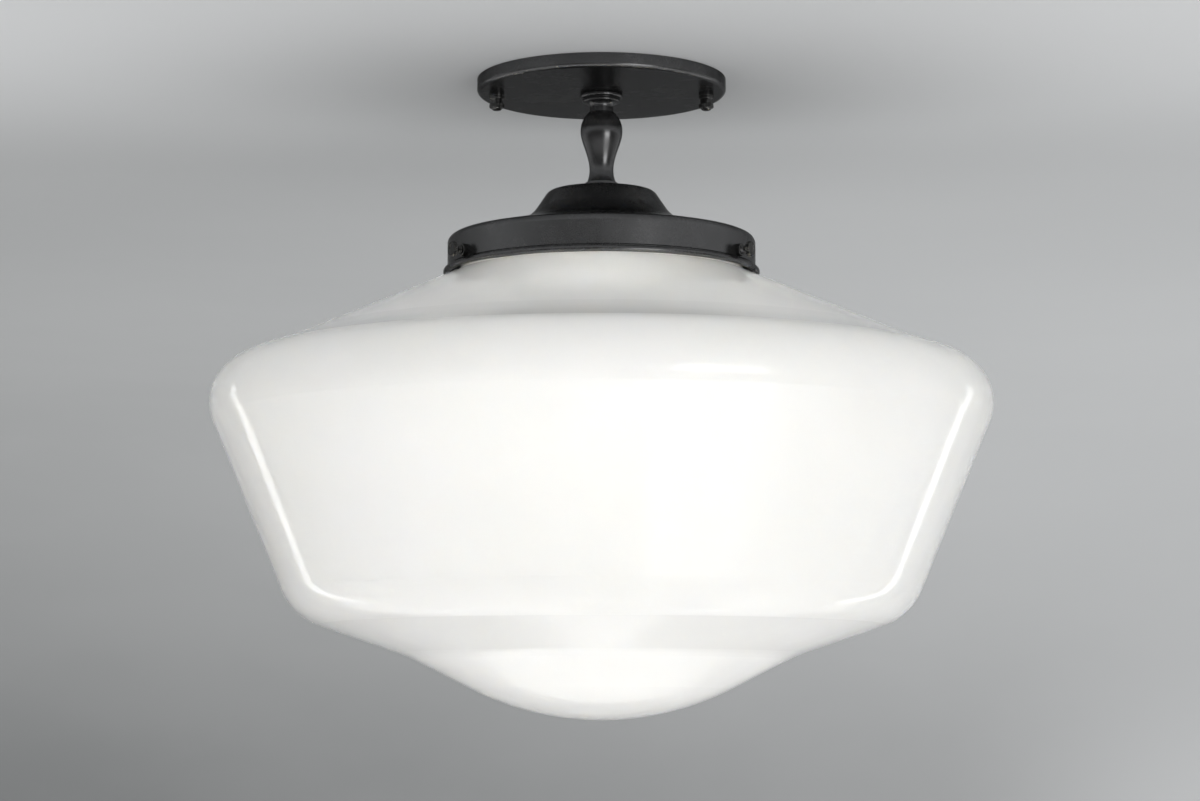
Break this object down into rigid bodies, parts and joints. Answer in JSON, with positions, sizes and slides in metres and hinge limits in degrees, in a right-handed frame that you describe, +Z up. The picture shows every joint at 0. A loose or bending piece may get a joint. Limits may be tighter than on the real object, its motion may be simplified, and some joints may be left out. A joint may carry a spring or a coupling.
{
  "type": "semi flush ceiling light",
  "caption": "Semi flush ceiling light: round canopy, turned neck and spun holder with thumb screws that carry a wide glossy opal glass shade round a screw-in bulb.",
  "frame": {"origin": "centre of the canopy's rim in the plane of the ceiling", "axes": "+Z up into the ceiling along the light's axis; the two canopy nuts lie on the X axis; -Y faces the viewer, between two of the three thumb screws"},
  "size_m": [0.3928, 0.3928, 0.3462],
  "materials": {
    "black_metal": "satin black paint",
    "black_hardware": "semi gloss black",
    "opal_glass": "glossy opal white",
    "zinc_steel": "zinc plated",
    "green_metal": "green",
    "porcelain": "glazed",
    "brass": "bright",
    "nickel": "nickel plated",
    "soft_tip": "matt",
    "black_insulation": "matt",
    "white_insulation": "matt",
    "copper": "bare copper",
    "black_vitrite": "glossy",
    "lamp_base": "bright",
    "frosted_glass": "frosted"
  },
  "bodies": {
    "fixture": {"canopy": "black_metal", "neck_collar": "black_metal", "neck": "black_metal", "holder": "black_metal", "bush_left": "black_hardware", "bush_right": "black_hardware", "bush_back": "black_hardware", "crossbar": "zinc_steel", "stud_left": "zinc_steel", "stud_right": "zinc_steel", "stud_locknut_left": "zinc_steel", "stud_locknut_right": "zinc_steel", "stem_rod": "zinc_steel", "canopy_washer": "zinc_steel", "canopy_locknut": "zinc_steel", "holder_washer": "zinc_steel", "holder_locknut": "zinc_steel", "socket_locknut": "zinc_steel", "socket_cap": "zinc_steel", "socket_screws": "zinc_steel", "ground_screw": "green_metal", "shade": "opal_glass", "socket_body": "porcelain", "screw_shell": "brass", "shell_rivet": "brass", "centre_contact": "brass", "terminal_line": "brass", "terminal_neutral": "nickel", "terminal_screws": "nickel", "lead_black": "black_insulation", "lead_white": "white_insulation", "lead_ends": "copper"},
    "left_screw_tip": {"screw_tip_left": "soft_tip"},
    "left_thumb_screw": {"thumb_screw_left": "black_hardware"},
    "right_screw_tip": {"screw_tip_right": "soft_tip"},
    "right_thumb_screw": {"thumb_screw_right": "black_hardware"},
    "back_screw_tip": {"screw_tip_back": "soft_tip"},
    "back_thumb_screw": {"thumb_screw_back": "black_hardware"},
    "left_canopy_washer": {"cap_washer_left": "black_hardware"},
    "left_canopy_nut": {"cap_nut_left": "black_hardware"},
    "right_canopy_washer": {"cap_washer_right": "black_hardware"},
    "right_canopy_nut": {"cap_nut_right": "black_hardware"},
    "bulb_tip": {"bulb_contact": "nickel"},
    "bulb": {"bulb_insulator": "black_vitrite", "bulb_base": "lamp_base", "bulb_envelope": "frosted_glass"}
  },
  "joints": [
    {"name": "left_thumb_screw_travel", "type": "slide", "parent": "fixture", "child": "left_screw_tip", "axis": [-0.866, -0.5, 0], "range_m": [0, 0.00436]},
    {"name": "left_thumb_screw_turn", "type": "hinge", "parent": "left_screw_tip", "child": "left_thumb_screw", "pos_m": [-0.07318, -0.04225, -0.0941], "axis": [-0.866, -0.5, 0], "range_deg": [0, 1980]},
    {"name": "right_thumb_screw_travel", "type": "slide", "parent": "fixture", "child": "right_screw_tip", "axis": [0.866, -0.5, 0], "range_m": [0, 0.00436]},
    {"name": "right_thumb_screw_turn", "type": "hinge", "parent": "right_screw_tip", "child": "right_thumb_screw", "pos_m": [0.07318, -0.04225, -0.0941], "axis": [0.866, -0.5, 0], "range_deg": [0, 1980]},
    {"name": "back_thumb_screw_travel", "type": "slide", "parent": "fixture", "child": "back_screw_tip", "axis": [0, 1, 0], "range_m": [0, 0.00436]},
    {"name": "back_thumb_screw_turn", "type": "hinge", "parent": "back_screw_tip", "child": "back_thumb_screw", "pos_m": [0, 0.0845, -0.0941], "axis": [0, 1, 0], "range_deg": [0, 1980]},
    {"name": "left_canopy_nut_travel", "type": "slide", "parent": "fixture", "child": "left_canopy_washer", "axis": [0, 0, -1], "range_m": [0, 0.00476]},
    {"name": "left_canopy_nut_turn", "type": "hinge", "parent": "left_canopy_washer", "child": "left_canopy_nut", "pos_m": [-0.0535, 0, -0.0122], "axis": [0, 0, -1], "range_deg": [0, 2160]},
    {"name": "right_canopy_nut_travel", "type": "slide", "parent": "fixture", "child": "right_canopy_washer", "axis": [0, 0, -1], "range_m": [0, 0.00476]},
    {"name": "right_canopy_nut_turn", "type": "hinge", "parent": "right_canopy_washer", "child": "right_canopy_nut", "pos_m": [0.0535, 0, -0.0122], "axis": [0, 0, -1], "range_deg": [0, 2160]},
    {"name": "bulb_travel", "type": "slide", "parent": "fixture", "child": "bulb_tip", "axis": [0, 0, -1], "range_m": [0, 0.01451]},
    {"name": "bulb_turn", "type": "hinge", "parent": "bulb_tip", "child": "bulb", "pos_m": [0, 0, -0.1], "axis": [0, 0, -1], "range_deg": [0, 1440]}
  ],
  "couplings": [
    {"joint": "left_thumb_screw_turn", "follows": "left_thumb_screw_travel", "rad_per_m": 7915.8},
    {"joint": "right_thumb_screw_turn", "follows": "right_thumb_screw_travel", "rad_per_m": 7915.8},
    {"joint": "back_thumb_screw_turn", "follows": "back_thumb_screw_travel", "rad_per_m": 7915.8},
    {"joint": "left_canopy_nut_turn", "follows": "left_canopy_nut_travel", "rad_per_m": 7915.8},
    {"joint": "right_canopy_nut_turn", "follows": "right_canopy_nut_travel", "rad_per_m": 7915.8},
    {"joint": "bulb_turn", "follows": "bulb_travel", "rad_per_m": 1731.4}
  ]
}
